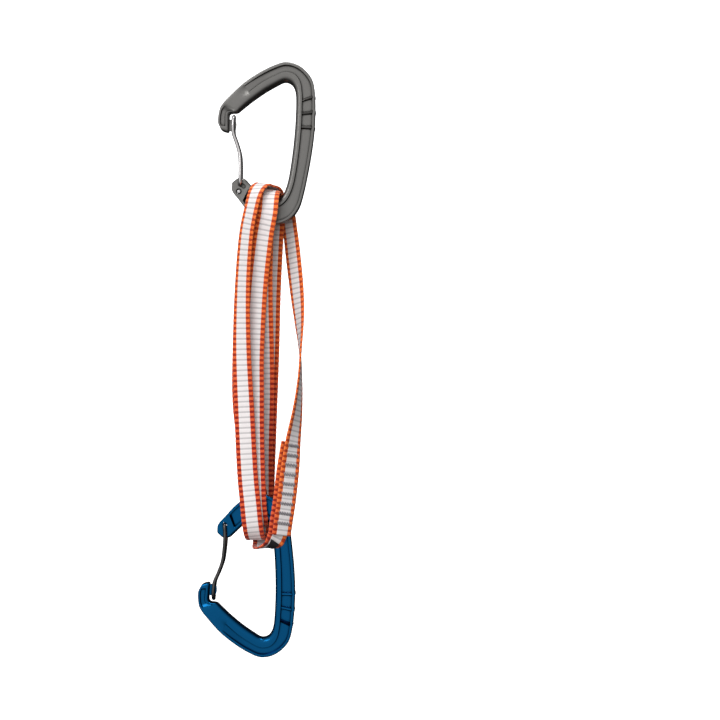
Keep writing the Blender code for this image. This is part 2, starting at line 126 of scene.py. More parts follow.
# Gate wire: (x, y, z) of the near leg from its bent end up to the middle of the loop.
WIRE_RADIUS = 0.95
NEAR_END = ((-23.7, -1.8, -55.2), (-23.7, -3.3, -55.2), (-23.65, -4.5, -54.0))
FAR_END = ((-23.8, 4.6, -55.0), (-24.2, 4.6, -57.4), (-24.4, 3.2, -58.9), (-24.4, -2.5, -58.9))
LEG = (
    (-23.5, -4.7, -51.0),
    (-23.5, -4.1, -44.8),
    (-23.9, -3.5, -38.9),
    (-25.5, -3.1, -32.9),
    (-27.2, -3.2, -27.9),
    (-27.5, -3.4, -23.8),
    (-27.4, -3.0, -20.7),
    (-27.2, -1.8, -18.8),
)
LOOP_MIDDLE = (-27.1, 0.0, -18.3)

# The bottom carabiner is the same one, turned end for end and a little about Y.
BOTTOM_APEX = (-12.6, 0.0, -298.8)
BOTTOM_TILT = 4.8

# Sling: one ribbon. Route points are (x, y, z, turn, drop): turn is the angle in degrees from
# +X to the direction across the webbing, seen from above, and drop is how far that direction
# points down, 0 where it's left out.
FRONT_LAYER = (
    (-1.1, -10.9, -243.0, -152.0),
    (-0.1, -10.5, -236.0, -152.0),
    (1.5, -9.4, -225.2, -152.0),
    (3.3, -7.7, -209.0, -150.0),
    (4.9, -5.8, -193.6, -134.0),
)
REAR_SHIFT = (-2.2, 0.65, 0.0)
STRAND_D = (
    (7.2, -3.0, -176.6, -114.0),
    (8.4, -0.5, -160.4, -98.0),
    (8.5, 2.0, -144.2, -84.0),
    (7.8, 4.6, -128.0, -62.0),
    (6.4, 6.8, -111.8, -47.0),
    (4.3, 8.6, -92.9, -42.0),
    (2.7, 9.8, -79.4, -44.0),
    (1.2, 9.8, -69.7, -45.0),
)
CREST_OUTER = (
    (-2.4, 10.4, -63.0, -45.0, 8.0),
    (-4.6, 8.2, -58.4, -45.0, 8.0),
    (-6.4, 4.2, -56.2, -45.0, 6.0),
    (-8.8, 0.2, -55.6, -45.0, 5.0),
    (-11.8, -4.6, -55.3, -45.0, 10.0),
    (-14.8, -9.4, -59.8, -45.0, 10.0),
)
STRAND_A = (
    (-17.4, -10.8, -69.6, -45.0),
    (-20.2, -9.6, -84.8, -44.0),
    (-22.1, -8.4, -111.8, -40.0),
    (-22.4, -7.6, -144.2, -26.0),
    (-21.1, -7.6, -176.6, -12.0),
    (-19.4, -8.4, -209.0, -2.0),
    (-17.7, -9.4, -226.5, 0.0),
)
TURN_A_C = (
    (-16.5, -9.2, -238.1, 0.0),
    (-15.7, -6.0, -243.8, 0.0),
    (-14.8, -0.5, -246.2, 0.0),
    (-13.8, 5.0, -243.6, 0.0),
    (-12.9, 8.0, -236.8, 0.0),
)
STRAND_C1 = (
    (-12.2, 8.6, -226.5, 0.0),
    (-12.2, 7.8, -209.0, 0.0),
    (-11.8, 6.2, -187.4, 0.0),
    (-11.2, 3.6, -165.8, 0.0),
    (-11.2, 0.6, -144.2, 0.0),
    (-11.6, -2.2, -122.6, 0.0),
    (-11.6, -4.6, -101.0, 0.0),
    (-11.0, -6.4, -82.1, 0.0, 4.0),
)
CREST_INNER = (
    (-10.2, -6.8, -70.2, 0.0, 14.0),
    (-9.4, -5.0, -63.2, 0.0, 24.0),
    (-9.0, 0.0, -60.3, 0.0, 25.0),
    (-9.4, 5.0, -63.2, 0.0, 24.0),
    (-10.4, 6.8, -70.7, 0.0, 14.0),
)
STRAND_E = (
    (-12.4, 6.4, -84.8, 0.0),
    (-17.6, 5.0, -101.0, 0.0),
    (-21.6, 4.0, -122.6, 0.0),
    (-22.8, 3.2, -144.2, 0.0),
    (-22.8, 2.2, -171.2, 0.0),
    (-20.4, 2.4, -192.8, 0.0),
    (-16.9, 4.6, -211.7, 0.0),
)
TURN_E_B = (
    (-14.8, 6.7, -226.8, 0.0, 4.0),
    (-14.3, 5.2, -235.4, 0.0, 8.0),
    (-14.0, 0.0, -238.7, 0.0, 8.0),
    (-14.0, -5.2, -235.4, 0.0, 8.0),
    (-14.8, -6.9, -226.8, 0.0, 4.0),
)
STRAND_B = (
    (-15.6, -6.0, -209.0, 0.0),
    (-16.1, -5.0, -187.4, 0.0),
    (-16.2, -4.7, -165.8, 0.0),
    (-16.1, -4.9, -144.2, 0.0),
    (-14.3, -6.0, -111.8, -4.0),
    (-11.1, -8.6, -84.8, -10.0),
)
CREST_MIDDLE = (
    (-8.6, -10.0, -71.3, -12.0, 8.0),
    (-7.9, -7.7, -61.8, -12.0, 13.0),
    (-7.4, 0.0, -57.9, -12.0, 13.0),
    (-6.4, 6.4, -61.2, -12.0, 13.0),
    (-5.6, 8.7, -70.2, -12.0, 8.0),
)
STRAND_C2 = (
    (-6.5, 8.6, -84.8, -6.0),
    (-7.8, 7.6, -111.8, 0.0),
    (-8.6, 6.8, -144.2, 0.0),
    (-9.8, 7.8, -176.6, 0.0),
    (-11.1, 9.9, -209.0, 2.0),
    (-11.8, 11.3, -226.5, 4.0),
)
TURN_C_D = (
    (-12.2, 11.2, -238.0, 10.0),
    (-12.2, 8.8, -245.4, 20.0),
    (-11.9, 3.6, -249.3, 28.0),
    (-11.7, -1.6, -250.2, 32.0),
    (-10.8, -6.6, -250.0, 36.0),
    (-8.4, -9.9, -249.0, 34.0),
    (-5.4, -10.9, -246.8, 29.0),
)

TACK_COUNT = 9
TACK_PITCH = 5.2
FIRST_TACK = 6.5
TACK_WIDTH = 7.4

# Carabiner detail: the cross ribs of the spine, at their heights.
BODY_STEP = 0.8
RIBS = (-9.5, -16.7, -24.3)
RIB_HALF = 0.35
RIB_FLANK = 0.35
RIB_RISE = 0.8
RIB_BUMP = 0.3

# Wire detail.
WIRE_SIDES = 20
WIRE_STEP = 0.7
WIRE_SHARP_ANGLE = 50.0
END_ROUND = 0.3
# A direction that neither a gate wire nor a thread starts along.
SPARE_DIRECTION = (0.31, 0.17, 0.93)

# Webbing detail, over half its 11 mm width: a ribbed middle and a beaded roll along the edge,
# repeated every pitch.
ROUTE_STEP = 0.56
ROUTE_SAMPLES = 16
PITCH = 2.8
ACROSS = (0.0, 1.5, 2.6, 3.0, 3.25, 3.6, 4.3, 4.9, 5.3, 5.5)
EDGE_START = 3.1
MIDDLE_HEIGHT = 0.52
GROOVE_DEPTH = 0.035
ROLL_PLACE = 4.3
ROLL_HALF = 1.24
ROLL_BASE = 0.12
ROLL_HEIGHT = 0.46
BEAD_RISE = 0.08
BEAD_SWELL = 0.14
SWELL_START = 4.5

# Thread detail: each tack is a zigzag that dips into the webbing at its peaks.
STITCH_PEAKS = 15
STITCH_SAMPLES = 6
STITCH_REACH = 0.95
STITCH_RADIUS = 0.19
STITCH_SIDES = 6
STITCH_LIFT = 0.72
STITCH_DIP = 0.22

# Colours.
GREY = (0.20, 0.195, 0.187)
BLUE = (0.004, 0.085, 0.22)
STEEL = (0.62, 0.60, 0.60)
DARK_STEEL = (0.10, 0.098, 0.096)
WHITE = (0.84, 0.79, 0.785)
WHITE_LINE = (0.54, 0.51, 0.515)
ORANGE = (0.80, 0.12, 0.012)
ORANGE_LIGHT = (0.96, 0.24, 0.05)
# Painted shade: the darker, redder orange of the lower left strands.
SHADED_ORANGE = (0.60, 0.05, 0.010)
SHADED_ORANGE_LIGHT = (0.85, 0.15, 0.045)
DARK_BEAD = (0.42, 0.04, 0.005)
# Painted shade: the beads' colour on the lower left strands.
SHADED_BEAD = (0.26, 0.006, 0.002)
THREAD = (0.19, 0.175, 0.19)
# Painted shadow: the black of the patch under the front layer's end at the lower turn.
SHADOW_PATCH_COLOUR = (0.018, 0.018, 0.02)
BACKDROP = (0.9, 0.9, 0.9)

# Pattern of the materials: a fade is (start, end) of a smooth step.
# Painted shade in the corners of the anodised bodies: how far the occlusion reaches, how dark it
# makes the colour, and its fade.
CAVITY_REACH = 1.6
PAINTED_CORNER_SHADE = 0.22
CAVITY_FADE = (0.35, 0.95)
DARK_STEEL_FADE = (-150.0, -180.0)
PICKS_IN_A_PITCH = 5
WALE = 0.62
LINE_FADE = (0.2, 0.9)
LINE_DEPTH = 0.6
MIDDLE_SHADE = 0.12
BEAD_PLACE = 4.25
BEAD_HALF = 1.5
BEAD_FADE = (-0.3, 0.15)
# Painted shade on the lower left strands: its fades in z and in x, in mm.
PAINTED_SHADE_BELOW = (-90.0, -190.0)
PAINTED_SHADE_LEFT_OF = (-1.0, -6.0)

# Stage, in metres.
CAMERA_PLACE = (0.0408, -0.8, -0.1496)
CAMERA_LENS = 74.08
FLOOR_Z = -0.40
FLOOR_FRONT = -2.5
FLOOR_BEND = 0.6
BACKDROP_TOP = 2.6
BACKDROP_HALF_WIDTH = 3.0
BACKDROP_GLOW = 0.9
WALL_DIRECTION = (-0.3, -0.8, 0.45)
WALL_MIDDLE = 0.95
FRONT_GLOW = 0.92
SIDE_GLOW = 0.04
LIT_CENTRE = (0.0, 0.0, -0.15)
# (name, place, size, watts, whether it shows in reflections) of each area light.
LIGHTS = (
    ("key", (-0.5, -0.9, 0.5), (0.35, 0.6), 2.5, True),
    ("top", (0.2, -0.1, 0.9), (0.6, 0.3), 5.0, True),
    ("front", (-0.3, -1.0, 0.15), (0.8, 0.8), 5.5, False),
)


# --- shared shapes -------------------------------------------------------------------------


def mesh_object(name, points, faces, material, smooth_angle=None):
    """A mesh object of world-space points in mm, shaded smooth up to an angle in degrees."""
    mesh = bpy.data.meshes.new(name)
    mesh.from_pydata((np.asarray(points) * MM).tolist(), [], faces)
    mesh.materials.append(material)
    mesh.shade_smooth()
    if smooth_angle is not None:
        mesh.set_sharp_from_angle(angle=math.radians(smooth_angle))
    item = bpy.data.objects.new(name, mesh)
    bpy.context.scene.collection.objects.link(item)
    return item


def even_counts(points, step):
    """How many pieces to cut each span into, so that they are at most about one step long."""
    spans = np.linalg.norm(np.diff(np.asarray(points, float)[:, :3], axis=0), axis=1)
    return [max(1, math.ceil(span / step)) for span in spans]


def smooth(points, counts, keep=()):
    """(samples, station numbers) of a curve through the points, each span cut as counted."""
    points = np.asarray(points, float)
    ends = (2 * points[0] - points[1], 2 * points[-1] - points[-2])
    padded = np.vstack([ends[0], points, ends[1]])
    at = [i + k / count for i, count in enumerate(counts) for k in range(count)]
    at = np.array(sorted(set(np.round(at + list(keep) + [len(points) - 1.0], 4))))
    i = np.minimum(at.astype(int), len(points) - 2)
    t = (at - i)[:, None]
    a, b, c, d = (padded[i + k] for k in range(4))
    curve = 2 * b + (c - a) * t + (2 * a - 5 * b + 4 * c - d) * t**2
    curve = 0.5 * (curve + (3 * b - a - 3 * c + d) * t**3)
    return curve, at


def loft(rings):
    """Faces that join rings of equally many points, with both ends closed."""
    count = len(rings[0])
    faces = []
    for r in range(len(rings) - 1):
        for k in range(count):
            n = (k + 1) % count
            faces.append((r * count + k, r * count + n, (r + 1) * count + n, (r + 1) * count + k))
    faces.append(tuple(reversed(range(count))))
    faces.append(tuple(range((len(rings) - 1) * count, len(rings) * count)))
    return faces


def facing_out(points, faces):
    """The faces, turned round if they enclose a negative volume."""
    corners = [(face[0], face[k], face[k + 1]) for face in faces for k in range(1, len(face) - 1)]
    a, b, c = (points[list(column)] for column in zip(*corners))
    volume = np.sum(a * np.cross(b, c))
    return faces if volume > 0 else [tuple(reversed(face)) for face in faces]


def stands_for(piece, node, body):
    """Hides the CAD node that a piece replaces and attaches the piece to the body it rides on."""
    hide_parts(node)
    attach(piece, body)


# --- carabiner ---------------------------------------------------------------------------


def quarter(radius, steps):
    """Fractions (along, up) of a rounded corner, from its side to its face."""
    angles = np.linspace(0.0, math.pi / 2, steps)
    return [(radius * (1 - math.cos(a)), radius * (math.sin(a) - 1)) for a in angles]


def body_section(width, station, depth):
    """Half of the I-beam section: (distance from the inner edge, height), inner to outer edge.

    The fractions of the width keep its corners in order where the body narrows.
    """
    stations, *columns = zip(*SECTIONS)
    thickness, flange, rounding = (np.interp(station, stations, column) for column in columns)
    half = thickness / 2
    inner = min(rounding, width * 0.4)
    outer = min(OUTER_ROUND, width * 0.1)
    start = max(min(flange, width * 0.5), inner + 0.05)
    end = width - min(OUTER_RIM, width * 0.17)
    slope = min(WALL_SLOPE, (end - start) * 0.2)
    half_section = [(a, half + up) for a, up in quarter(inner, 9)]
    half_section += [(start, half), (start + slope, half - depth)]
    half_section += [(end - slope, half - depth), (end, half)]
    half_section += [(width - a, half + up) for a, up in reversed(quarter(outer, 6))]
    return half_section


def pocket_depth(station):
    """Depth of the web pocket at a station of the outline."""
    for start, end, depth, first, last in POCKETS:
        if start < station < end:
            part = min(1.0, (station - start) / first, (end - station) / last)
            return depth * part * part * (3 - 2 * part)
    return 0.0


def place_top(points):
    """Leaves a carabiner's own points where they are, as an array."""
    return np.asarray(points, float)


def place_bottom(points):
    """Turns a carabiner's own points end for end, tilts them and moves them to the bottom."""
    x, y, z = (np.asarray(points, float) * (1.0, -1.0, -1.0)).T
    c, s = math.cos(math.radians(BOTTOM_TILT)), math.sin(math.radians(BOTTOM_TILT))
    return np.stack([x * c + z * s, y, z * c - x * s], axis=1) + BOTTOM_APEX


def body_ring(outer, inner, half_section):
    """World points of a section, given the outline's outer and inner points there."""
    across = (outer - inner) / np.linalg.norm(outer - inner)
    upper = [(inner[0] + across[0] * u, -v, inner[1] + across[1] * u) for u, v in half_section]
    lower = [(x, -y, z) for x, y, z in reversed(upper)]
    return upper + lower


def dome(ring, direction, height):
    """Rings that close an end of the body with a rounded cap."""
    ring = np.asarray(ring)
    centre = ring.mean(axis=0)
    caps = []
    for angle in DOME_ANGLES:
        shrunk = centre + (ring - centre) * max(math.cos(angle), DOME_NARROWEST)
        caps.append(shrunk + direction * height * math.sin(angle))
    return caps


def unit_step(start, end):
    """The unit vector from one (x, z) point to another."""
    step = np.array([end[0] - start[0], 0.0, end[1] - start[1]])
    return step / np.linalg.norm(step)


def rib_at(centre):
    """How far a cross rib rises at a point of the centre line, 0 to 1."""
    if centre[0] < 0:
        return 0.0
    away = min(abs(centre[1] - rib) for rib in RIBS) - RIB_HALF
    return float(np.clip(1 - away / RIB_FLANK, 0.0, 1.0))


def carabiner_rings():
    """Rings of the whole body, from the nose's cap to the hinge end's."""
    ends = [s for a, b, _, first, last in POCKETS for s in (a, a + first, b - last, b)]
    fine = smooth(OUTLINE, even_counts(OUTLINE, BODY_STEP), keep=ends)
    rings = []
    for row, station in zip(*fine):
        outer, inner = row[:2], row[2:]
        rise = rib_at((outer + inner) / 2)
        outer = outer + (outer - inner) / np.linalg.norm(outer - inner) * RIB_BUMP * rise
        width = np.linalg.norm(outer - inner)
        depth = pocket_depth(station) * (1 - rise * RIB_RISE)
        rings.append(body_ring(outer, inner, body_section(width, station, depth)))
    centre = (fine[0][:, :2] + fine[0][:, 2:]) / 2
    first = dome(rings[0], unit_step(centre[1], centre[0]), END_DOME["nose"])
    last = dome(rings[-1], unit_step(centre[-2], centre[-1]), END_DOME["hinge"])
    return [*reversed(first), *rings, *last]


def prism(outline, front, back):
    """(points, faces) of an (x, z) outline extruded along Y between two places."""
    points = [(x, y, z) for y in (front, back) for x, z in outline]
    count = len(outline)
    faces = [(k, (k + 1) % count, count + (k + 1) % count, count + k) for k in range(count)]
    faces += [tuple(reversed(range(count))), tuple(range(count, 2 * count))]
    return points, faces


def disc(centre, radius, start=0.0, end=360.0, steps=20):
    """(x, z) points on a circle, or on its arc between two angles."""
    angles = np.radians(np.linspace(start, end, steps, endpoint=end - start < 360.0))
    return [(centre[0] + radius * math.cos(a), centre[1] + radius * math.sin(a)) for a in angles]


def slot_outline():
    """The upper hole, lengthened along the arc that the wire's end follows as the gate opens."""
    arm = np.subtract(UPPER_HOLE, PIVOT)
    radius, angle = np.linalg.norm(arm), math.degrees(math.atan2(arm[1], arm[0]))
    turned = angle - GATE_TRAVEL
    ends = [disc(PIVOT, radius, a, a + 1.0, 2)[0] for a in (angle, turned)]
    outline = disc(ends[0], HOLE_RADIUS, angle, angle + 180.0, 9)
    outline += disc(PIVOT, radius - HOLE_RADIUS, angle - 9.0, turned + 9.0, 4)
    outline += disc(ends[1], HOLE_RADIUS, turned + 180.0, turned + 360.0, 9)
    outline += disc(PIVOT, radius + HOLE_RADIUS, turned + 9.0, angle - 9.0, 4)
    return outline


def hinge_cuts():
    """(name, outline, (front, back)) of the cuts that take the two ends of the gate wire."""
    radius, depth = COUNTERBORE
    face = SECTIONS[-1][1] / 2
    return (
        ("pivot_hole", disc(PIVOT, HOLE_RADIUS), (-CUT_REACH, CUT_REACH)),
        ("counterbore", disc(PIVOT, radius), (-CUT_REACH, depth - face)),
        ("slot", slot_outline(), (-CUT_REACH, SLOT_FLOOR)),
    )


def cut_or_join(body, outline, reach, place, operation, material):
    """Applies one Boolean to the body with an extruded outline."""
    points, faces = prism(outline, *reach)
    points = place(points)
    helper = mesh_object("helper", points, facing_out(points, faces), material)
    modifier = body.modifiers.new("helper", "BOOLEAN")
    modifier.operation = operation
    modifier.solver = "EXACT"
    modifier.object = helper
    graph = bpy.context.evaluated_depsgraph_get()
    result = bpy.data.meshes.new_from_object(body.evaluated_get(graph))
    body.modifiers.remove(modifier)
    body.data = result
    bpy.data.objects.remove(helper, do_unlink=True)


def make_body(name, node, rides_on, place, material):
    """A carabiner body: the loft, with the hook joined on and the hinge end's holes cut."""
    rings = carabiner_rings()
    points = place(np.concatenate(rings))
    body = mesh_object(name, points, facing_out(points, loft(rings)), material)
    cut_or_join(body, HOOK, (-HOOK_WIDTH / 2, HOOK_WIDTH / 2), place, "UNION", material)
    for _, outline, reach in hinge_cuts():
        cut_or_join(body, outline, reach, place, "DIFFERENCE", material)
    body.data.shade_smooth()
    body.data.set_sharp_from_angle(angle=math.radians(BODY_SHARP_ANGLE))
    stands_for(body, node, rides_on)


# --- gate wires ----------------------------------------------------------------------------


def tube_rings(path, radius, sides):
    """Rings of a round bar along a path, turned as little as possible from ring to ring."""
    path = np.asarray(path, float)
    tangents = np.gradient(path, axis=0)
    tangents /= np.linalg.norm(tangents, axis=1)[:, None]
    side = np.cross(tangents[0], SPARE_DIRECTION)
    angles = np.arange(sides) * 2 * math.pi / sides
    rings = []
    for point, tangent in zip(path, tangents):
        side = side - tangent * np.dot(side, tangent)
        side /= np.linalg.norm(side)
        up = np.cross(tangent, side)
        rings.append(point + radius * (np.outer(np.cos(angles), side) + np.outer(np.sin(angles), up)))
    return rings


def rounded_ends(rings, path, radius):
    """Adds a small rounded edge to both ends of a round bar."""
    ends = []
    for end, near in ((0, 1), (-1, -2)):
        outward = path[end] - path[near]
        outward /= np.linalg.norm(outward)
        edge = [
            path[end] + (rings[end] - path[end]) * (1 - END_ROUND * (1 - math.cos(a)))
            + outward * radius * END_ROUND * math.sin(a)
            for a in (0.6, 1.1, 1.57)
        ]
        ends.append(edge)
    return [*reversed(ends[0]), *rings, *ends[1]]


def gate_path():
    """The middle line of a gate wire, from the end in the upper hole to the end in the pivot hole."""
    far_leg = [(x, -y, z) for x, y, z in reversed(LEG)]
    points = [*NEAR_END, *LEG, LOOP_MIDDLE, *far_leg, *FAR_END]
    return smooth(points, even_counts(points, WIRE_STEP))[0]


def make_gate(name, node, rides_on, place, material):
    path = gate_path()
    rings = rounded_ends(tube_rings(path, WIRE_RADIUS, WIRE_SIDES), path, WIRE_RADIUS)
    points = place(np.concatenate(rings))
    gate = mesh_object(name, points, facing_out(points, loft(rings)), material, WIRE_SHARP_ANGLE)
    stands_for(gate, node, rides_on)


# --- sling ---------------------------------------------------------------------------------


def sling_route():
    """The ribbon's whole route, from its end on the front layer to its end on the rear layer."""
    rear = [tuple(np.add(p[:3], REAR_SHIFT)) + (p[3] + 180.0,) for p in FRONT_LAYER]
    parts = (FRONT_LAYER, STRAND_D, CREST_OUTER, STRAND_A, TURN_A_C, STRAND_C1, CREST_INNER)
    parts += (STRAND_E, TURN_E_B, STRAND_B, CREST_MIDDLE, STRAND_C2, TURN_C_D, rear)
    return [(*point, 0.0)[:5] for part in parts for point in part]


def ribbon_frames(samples):
    """(position, along, across, normal) at each sample of a route."""
    position = samples[:, :3]
    along = np.gradient(position, axis=0)
    along /= np.linalg.norm(along, axis=1)[:, None]
    turn, drop = np.radians(samples[:, 3:]).T
    level = np.cos(drop)
    across = np.stack([np.cos(turn) * level, np.sin(turn) * level, -np.sin(drop)], axis=1)
    across -= along * np.sum(across * along, axis=1)[:, None]
    across /= np.linalg.norm(across, axis=1)[:, None]
    return position, along, across, np.cross(along, across)


def arc_lengths(position):
    """The distance along a path at each of its points."""
    steps = np.linalg.norm(np.diff(position, axis=0), axis=1)
    return np.concatenate([[0.0], np.cumsum(steps)])


def even_frames(points, step):
    """(frames, distances) of a route at even distances along it."""
    dense, _ = smooth(points, [ROUTE_SAMPLES] * (len(points) - 1))
    at = arc_lengths(dense[:, :3])
    distances = np.linspace(0.0, at[-1], math.ceil(at[-1] / step) + 1)
    samples = np.stack([np.interp(distances, at, dense[:, k]) for k in range(5)], axis=1)
    return ribbon_frames(samples), distances


def webbing_section(distance):
    """(across, height) round the webbing at a distance along it: a ribbed middle, beaded edges."""
    phase = 2 * math.pi * distance / PITCH
    bead = 0.5 - 0.5 * math.cos(phase)
    groove = max(0.0, math.cos(phase)) ** 4
    upper = []
    for u in (*[-a for a in reversed(ACROSS[1:])], *ACROSS):
        a = abs(u)
        if a < EDGE_START:
            height = MIDDLE_HEIGHT - GROOVE_DEPTH * groove
        else:
            round_part = math.sqrt(max(0.0, 1 - ((a - ROLL_PLACE) / ROLL_HALF) ** 2))
            height = ROLL_BASE + (ROLL_HEIGHT + BEAD_RISE * bead) * round_part
        reach = a + (BEAD_SWELL * (bead - 0.5) if a > SWELL_START else 0.0)
        upper.append((math.copysign(reach, u), height))
    return upper + [(u, -h) for u, h in reversed(upper)]


def weave_uv(mesh, sections, distances):
    """A UV map of (distance across in mm, distance along in pitches) for the woven pattern."""
    count = len(sections[0])
    u = np.array([[point[0] for point in section] for section in sections]).ravel()
    v = np.repeat(np.asarray(distances) / PITCH, count)
    loops = np.empty(len(mesh.loops), np.int32)
    mesh.loops.foreach_get("vertex_index", loops)
    layer = mesh.uv_layers.new(name="weave")
    layer.data.foreach_set("uv", np.stack([u[loops], v[loops]], axis=1).ravel().astype(np.float32))


def make_webbing(material):
    frames, distances = even_frames(sling_route(), ROUTE_STEP)
    sections = [webbing_section(d) for d in distances]
    position, _, across, normal = frames
    rings = []
    for p, a, n, section in zip(position, across, normal, sections):
        flat = np.asarray(section)
        rings.append(p + np.outer(flat[:, 0], a) + np.outer(flat[:, 1], n))
    points = np.concatenate(rings)
    webbing = mesh_object("webbing", points, facing_out(points, loft(rings)), material)
    weave_uv(webbing.data, sections, distances)
    stands_for(webbing, "sling_webbing", "sling")


def frame_at(frames, distances, distance):
    """The (position, along, across, normal) of a route at one distance along it."""
    values = [
        np.array([np.interp(distance, distances, part[:, k]) for k in range(3)]) for part in frames
    ]
    return values[0], *(v / np.linalg.norm(v) for v in values[1:])


def stitch_path(frame, lift):
    """The zigzag of one tack: it dips into the webbing at every peak."""
    position, along, across, normal = frame
    path = []
    for k in range(STITCH_PEAKS * STITCH_SAMPLES + 1):
        t = k / STITCH_SAMPLES
        wave = 1 - 2 * abs((t % 2) - 1)
        side = TACK_WIDTH * (t / STITCH_PEAKS - 0.5)
        dip = STITCH_DIP * abs(wave) ** 6
        path.append(position + across * side + along * STITCH_REACH * wave
                    + normal * math.copysign(abs(lift) - dip, lift))
    return path


def make_tack(node, frame, lift, material):
    rings = tube_rings(stitch_path(frame, lift), STITCH_RADIUS, STITCH_SIDES)
    points = np.concatenate(rings)
    tack = mesh_object(node + "_thread", points, facing_out(points, loft(rings)), material)
    stands_for(tack, node, "sling")


def make_tacks(material):
    """The bar tacks of the front layer and, behind them, of the rear layer."""
    layer = [(*point, 0.0) for point in FRONT_LAYER]
    front, distances = even_frames(layer, 1.0)
    rear = (front[0] + np.array(REAR_SHIFT), *front[1:])
    outward = -1.0 if front[3][0][1] > 0 else 1.0
    lift = STITCH_LIFT * outward
    for k in range(TACK_COUNT):
        distance = FIRST_TACK + TACK_PITCH * k
        number = TACK_COUNT - k
        make_tack(f"bar_tack_front_{number}", frame_at(front, distances, distance), lift, material)
        make_tack(f"bar_tack_back_{number}", frame_at(rear, distances, distance), -lift, material)


# --- materials -----------------------------------------------------------------------------


def new_material(name, colour, metallic, roughness):
    material = bpy.data.materials.new(name)
    material.use_nodes = True
    shader = material.node_tree.nodes["Principled BSDF"]
    shader.inputs["Base Color"].default_value = (*colour, 1.0)
    shader.inputs["Metallic"].default_value = metallic
    shader.inputs["Roughness"].default_value = roughness
    return material, shader


def add_node(material, kind, **settings):
    node = material.node_tree.nodes.new(kind)
    for key, value in settings.items():
        setattr(node, key, value)
    return node


def math_node(material, operation, a, b=0.0):
    node = add_node(material, "ShaderNodeMath", operation=operation)
    for socket, value in zip(node.inputs, (a, b)):
        if isinstance(value, (int, float)):
            socket.default_value = value
        else:
            material.node_tree.links.new(value, socket)
    return node.outputs[0]


def mix_colour(material, factor, a, b):
    """A mix of two colours, each a tuple or another node's output."""
    node = add_node(material, "ShaderNodeMix", data_type="RGBA")
    links = material.node_tree.links
    links.new(factor, node.inputs[0])
    for socket, value in ((node.inputs[6], a), (node.inputs[7], b)):
        if isinstance(value, tuple):
            socket.default_value = (*value, 1.0)
        else:
            links.new(value, socket)
    return node.outputs[2]


def smooth_step(material, value, fade):
    """0 at the fade's start and 1 at its end, with a soft rise between."""
    node = add_node(material, "ShaderNodeMapRange", interpolation_type="SMOOTHSTEP")
    node.inputs["From Min"].default_value, node.inputs["From Max"].default_value = fade
    material.node_tree.links.new(value, node.inputs["Value"])
    return node.outputs[0]


def place_in_mm(material):
    """(x, y, z) outputs of the place on the object as built, in mm."""
    place = add_node(material, "ShaderNodeTexCoord")
    split = add_node(material, "ShaderNodeSeparateXYZ")
    material.node_tree.links.new(place.outputs["Object"], split.inputs[0])
    return [math_node(material, "MULTIPLY", output, 1 / MM) for output in split.outputs]


def grain(material, scale):
    """Noise of a given scale, fixed to the object."""
    place = add_node(material, "ShaderNodeTexCoord")
    noise = add_node(material, "ShaderNodeTexNoise")
    noise.inputs["Scale"].default_value = scale
    noise.inputs["Detail"].default_value = 3.0
    material.node_tree.links.new(place.outputs["Object"], noise.inputs["Vector"])
    return noise.outputs["Fac"]


def add_bump(material, shader, height, strength, distance):
    bump = add_node(material, "ShaderNodeBump")
    bump.inputs["Strength"].default_value = strength
    bump.inputs["Distance"].default_value = distance
    material.node_tree.links.new(height, bump.inputs["Height"])
    material.node_tree.links.new(bump.outputs["Normal"], shader.inputs["Normal"])


def anodised(name, colour, roughness, spread):
    """Anodised aluminium: painted shade in its corners, with a fine grain and slightly uneven gloss.
    """
    material, shader = new_material(name, colour, 1.0, roughness)
    # Painted shade: the base colour darkens where ambient occlusion finds corners and recesses.
    cavity = add_node(material, "ShaderNodeAmbientOcclusion", samples=8)
    cavity.inputs["Distance"].default_value = CAVITY_REACH * MM
    open_part = smooth_step(material, cavity.outputs["AO"], CAVITY_FADE)
    shadowed = tuple(c * PAINTED_CORNER_SHADE for c in colour)
    links = material.node_tree.links
    links.new(mix_colour(material, open_part, shadowed, colour), shader.inputs["Base Color"])
    gloss = math_node(material, "MULTIPLY_ADD", grain(material, 120.0), spread)
    gloss.node.inputs[2].default_value = roughness - spread / 2
    links.new(gloss, shader.inputs["Roughness"])
    add_bump(material, shader, grain(material, 2500.0), 0.12, 0.0002)
    return material


def steel_wire():
    """Polished steel, darker on the lower gate."""
    material, shader = new_material("steel_wire", STEEL, 1.0, 0.2)
    lower = smooth_step(material, place_in_mm(material)[2], DARK_STEEL_FADE)
    colour = mix_colour(material, lower, STEEL, DARK_STEEL)
    material.node_tree.links.new(colour, shader.inputs["Base Color"])
    add_bump(material, shader, grain(material, 900.0), 0.06, 0.0002)
    return material


def weave_waves(material):
    """(distance from the middle, wave along the pitches, woven threads), read from the weave map."""
    uv = add_node(material, "ShaderNodeUVMap", uv_map="weave")
    split = add_node(material, "ShaderNodeSeparateXYZ")
    material.node_tree.links.new(uv.outputs["UV"], split.inputs[0])
    u, v = split.outputs[0], split.outputs[1]
    side = math_node(material, "ABSOLUTE", u)
    wave = math_node(material, "COSINE", math_node(material, "MULTIPLY", v, 2 * math.pi))
    pick_turns = math_node(material, "MULTIPLY", v, 2 * math.pi * PICKS_IN_A_PITCH)
    wale_turns = math_node(material, "MULTIPLY", u, 2 * math.pi / WALE)
    picks, wales = (math_node(material, "SINE", turns) for turns in (pick_turns, wale_turns))
    return side, wave, math_node(material, "MULTIPLY", picks, wales)


def middle_colour(material, wave, shade):
    """White, with a fine grey line across it at each pitch."""
    white = mix_colour(material, smooth_step(material, wave, LINE_FADE), WHITE, WHITE_LINE)
    weak_shade = math_node(material, "MULTIPLY", shade, MIDDLE_SHADE)
    return mix_colour(material, weak_shade, white, WHITE_LINE)


